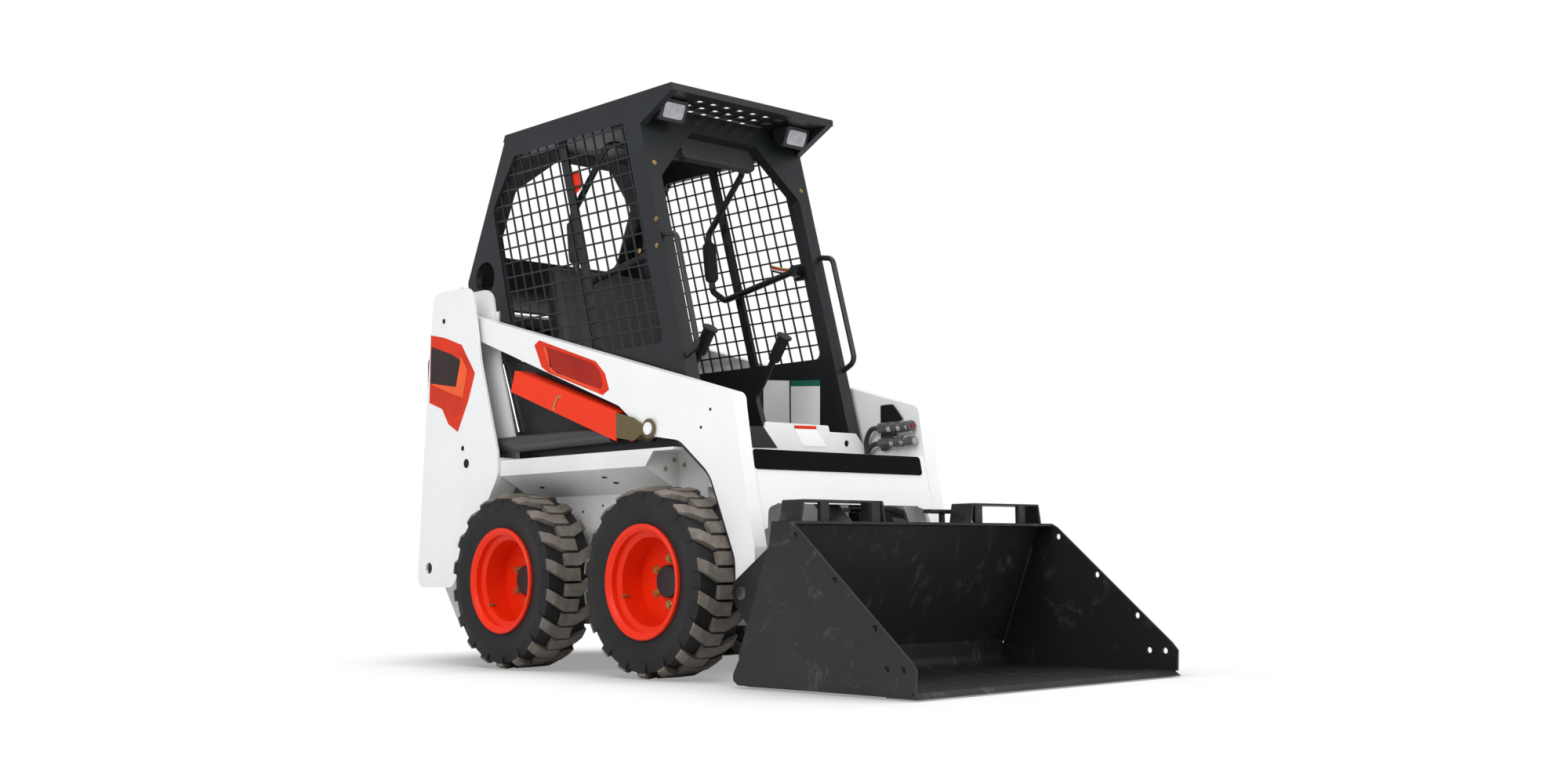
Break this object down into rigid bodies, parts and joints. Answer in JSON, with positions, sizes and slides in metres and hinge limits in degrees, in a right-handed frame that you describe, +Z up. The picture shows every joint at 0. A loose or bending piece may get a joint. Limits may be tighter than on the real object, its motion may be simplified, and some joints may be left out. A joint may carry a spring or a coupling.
{
  "type": "skid steer loader",
  "caption": "Small skid steer loader with open mesh-sided cab, lift arms with hydraulic cylinders, bucket, rear doors and chunky tyres.",
  "frame": {"origin": "on the ground under the middle of the machine's length and width", "axes": "+X towards the bucket, +Y to the left of the person in the cab, +Z up"},
  "size_m": [2.567, 1.118, 1.814],
  "materials": {
    "body_white": "gloss",
    "cab_black": "satin",
    "bucket_black": "satin, scuffed",
    "orange": "gloss",
    "tyre": "matt",
    "hub": "painted",
    "rod_chrome": "polished",
    "seat_cover": "vinyl",
    "lamp": "lamp body with lens",
    "zinc": "zinc plated",
    "red_lens": "lens",
    "engine": "painted"
  },
  "bodies": {
    "root": {"chassis": "body_white", "axle_tubes": "cab_black", "tower_right": "body_white", "tower_left": "body_white", "cab_side_right": "cab_black", "cab_side_left": "cab_black", "cab_back": "cab_black", "cab_roof": "cab_black", "work_lamps": "lamp", "grab_handles": "cab_black", "front_sill": "body_white", "seat": "seat_cover", "seat_box": "body_white", "drive_levers": "cab_black", "engine": "engine", "engine_sides": "body_white", "tower_plate_right": "body_white", "tower_plate_left": "body_white", "cab_front": "cab_black", "side_mesh_right": "cab_black", "side_mesh_left": "cab_black", "head_pad": "seat_cover"},
    "lift_arm": {"lift_arms": "body_white", "tilt_foot": "body_white", "coupler_bracket": "zinc"},
    "bucket_pins": {"bucket_pins": "rod_chrome"},
    "bucket": {"bucket_frame": "bucket_black", "bucket": "bucket_black", "cutting_edge": "bucket_black"},
    "tilt_barrel": {"tilt_barrel": "cab_black"},
    "tilt_piston": {"tilt_piston": "rod_chrome"},
    "tilt_rod": {"tilt_rod": "rod_chrome"},
    "tailgate": {"tailgate": "cab_black", "tail_lamps": "red_lens"},
    "rear_cover": {"rear_cover": "cab_black"},
    "seat_bar": {"seat_bar": "cab_black"},
    "arm_prop": {"arm_prop": "orange"},
    "wheel_front_right": {"tyre_front_right": "tyre", "wheel_front_right": "orange", "hub_front_right": "hub"},
    "wheel_front_left": {"tyre_front_left": "tyre", "wheel_front_left": "orange", "hub_front_left": "hub"},
    "wheel_rear_right": {"tyre_rear_right": "tyre", "wheel_rear_right": "orange", "hub_rear_right": "hub"},
    "wheel_rear_left": {"tyre_rear_left": "tyre", "wheel_rear_left": "orange", "hub_rear_left": "hub"},
    "lift_barrel_right": {"lift_barrel_right": "cab_black"},
    "lift_rod_right": {"lift_rod_right": "rod_chrome"},
    "lift_barrel_left": {"lift_barrel_left": "cab_black"},
    "lift_rod_left": {"lift_rod_left": "rod_chrome"}
  },
  "joints": [
    {"name": "spin_front_right", "type": "hinge", "parent": "root", "child": "wheel_front_right", "pos_m": [0.1765, -0.4375, 0.281], "axis": [0, 1, 0], "continuous": true},
    {"name": "spin_front_left", "type": "hinge", "parent": "root", "child": "wheel_front_left", "pos_m": [0.1765, 0.4375, 0.281], "axis": [0, 1, 0], "continuous": true},
    {"name": "spin_rear_right", "type": "hinge", "parent": "root", "child": "wheel_rear_right", "pos_m": [-0.5455, -0.4375, 0.281], "axis": [0, 1, 0], "continuous": true},
    {"name": "spin_rear_left", "type": "hinge", "parent": "root", "child": "wheel_rear_left", "pos_m": [-0.5455, 0.4375, 0.281], "axis": [0, 1, 0], "continuous": true},
    {"name": "lift", "type": "hinge", "parent": "root", "child": "lift_arm", "pos_m": [-1.0345, 0, 1.178], "axis": [0, -1, 0], "range_deg": [0, 73.6]},
    {"name": "bucket_level", "type": "hinge", "parent": "lift_arm", "child": "bucket_pins", "pos_m": [0.5105, 0, 0.25], "axis": [0, 1, 0], "range_deg": [0, 73.6]},
    {"name": "bucket_tilt", "type": "hinge", "parent": "bucket_pins", "child": "bucket", "pos_m": [0.5105, 0, 0.25], "axis": [0, 1, 0], "range_deg": [-28, 40]},
    {"name": "lift_barrel_right", "type": "hinge", "parent": "root", "child": "lift_barrel_right", "pos_m": [-0.8995, -0.392, 0.728], "axis": [0, -1, 0], "range_deg": [0, 66.2]},
    {"name": "lift_rod_right", "type": "slide", "parent": "lift_barrel_right", "child": "lift_rod_right", "axis": [0.9999, 0, 0.0101], "range_m": [0, 0.54]},
    {"name": "lift_barrel_left", "type": "hinge", "parent": "root", "child": "lift_barrel_left", "pos_m": [-0.8995, 0.392, 0.728], "axis": [0, -1, 0], "range_deg": [0, 66.2]},
    {"name": "lift_rod_left", "type": "slide", "parent": "lift_barrel_left", "child": "lift_rod_left", "axis": [0.9999, 0, 0.0101], "range_m": [0, 0.54]},
    {"name": "tilt_barrel", "type": "hinge", "parent": "lift_arm", "child": "tilt_barrel", "pos_m": [0.2855, 0, 0.64], "axis": [0, 1, 0], "range_deg": [0, 9.1]},
    {"name": "tilt_piston", "type": "slide", "parent": "tilt_barrel", "child": "tilt_piston", "axis": [0.7034, 0, -0.7108], "range_m": [0, 0.1378]},
    {"name": "tilt_rod", "type": "slide", "parent": "tilt_piston", "child": "tilt_rod", "axis": [0.7034, 0, -0.7108], "range_m": [-0.0407, 0.0581]},
    {"name": "tailgate", "type": "hinge", "parent": "root", "child": "tailgate", "pos_m": [-1.2745, 0.346, 0.69], "axis": [0, 0, -1], "range_deg": [0, 100]},
    {"name": "rear_cover", "type": "hinge", "parent": "root", "child": "rear_cover", "pos_m": [-1.0545, 0, 1.197], "axis": [0, 1, 0], "range_deg": [0, 70]},
    {"name": "seat_bar", "type": "hinge", "parent": "root", "child": "seat_bar", "pos_m": [-0.0245, 0, 1.31], "axis": [0, -1, 0], "range_deg": [0, 94]},
    {"name": "arm_prop", "type": "hinge", "parent": "lift_arm", "child": "arm_prop", "pos_m": [0.0875, -0.392, 0.738], "axis": [0, -1, 0], "range_deg": [0, 5.5]}
  ],
  "couplings": [
    {"joint": "bucket_level", "follows": "lift", "ratio": 1},
    {"joint": "lift_barrel_right", "follows": "lift", "ratio": 0.8983},
    {"joint": "lift_rod_right", "follows": "lift", "m_per_rad": 0.42},
    {"joint": "lift_barrel_left", "follows": "lift", "ratio": 0.8983},
    {"joint": "lift_rod_left", "follows": "lift", "m_per_rad": 0.42},
    {"joint": "tilt_barrel", "follows": "lift", "ratio": 0.1222},
    {"joint": "tilt_piston", "follows": "lift", "m_per_rad": 0.1072},
    {"joint": "tilt_rod", "follows": "bucket_tilt", "m_per_rad": 0.0831}
  ]
}
